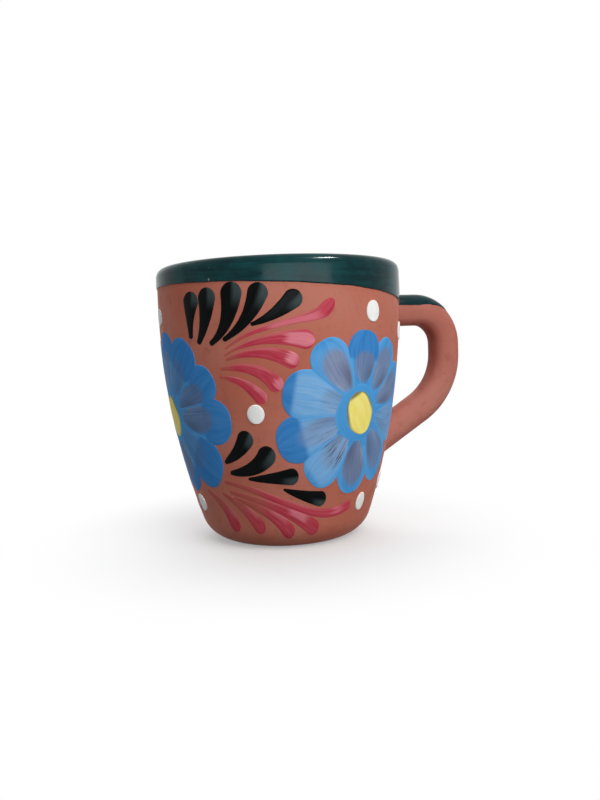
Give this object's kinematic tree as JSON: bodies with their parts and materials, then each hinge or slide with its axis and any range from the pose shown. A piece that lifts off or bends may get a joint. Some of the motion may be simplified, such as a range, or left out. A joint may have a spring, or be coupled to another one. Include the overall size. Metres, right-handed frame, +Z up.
{
  "type": "clay mug",
  "caption": "Hand-thrown terracotta mug with a luted coil handle, a dark green glazed rim and raised painted blue flowers, brush strokes and dots, for hot drinks.",
  "frame": {"origin": "middle of the foot, on the table", "axes": "+Z up along the cup's axis; +X out along the handle; +Y completes the right-handed frame"},
  "size_m": [0.1125, 0.0828, 0.0919],
  "materials": {
    "clay": "bare fired red clay, fine grained, satin",
    "slip": "bare fired slip, matte",
    "lining_glaze": "clear amber glaze over clay, glossy",
    "green_glaze": "dark green glaze, glossy",
    "blue_paint": "brushed enamel, satin",
    "yellow_paint": "brushed enamel, satin",
    "black_paint": "thick enamel, glossy",
    "red_paint": "thick enamel, semi-gloss",
    "white_paint": "thick enamel, semi-gloss"
  },
  "bodies": {
    "root": {"clay_body": "clay", "clay_handle": "clay", "upper_slip_joint": "slip", "lower_slip_joint": "slip", "inner_glaze": "lining_glaze", "rim_glaze": "green_glaze", "handle_glaze": "green_glaze", "front_flower_petals": "blue_paint", "front_flower_heart": "yellow_paint", "middle_flower_petals": "blue_paint", "middle_flower_heart": "yellow_paint", "back_flower_petals": "blue_paint", "back_flower_heart": "yellow_paint", "front_upper_black_strokes": "black_paint", "front_upper_red_strokes": "red_paint", "front_lower_black_strokes": "black_paint", "front_lower_red_strokes": "red_paint", "back_upper_black_strokes": "black_paint", "back_upper_red_strokes": "red_paint", "back_lower_black_strokes": "black_paint", "back_lower_red_strokes": "red_paint", "flower_dots": "white_paint", "panel_dots": "white_paint", "handle_dots": "white_paint"}
  },
  "joints": []
}
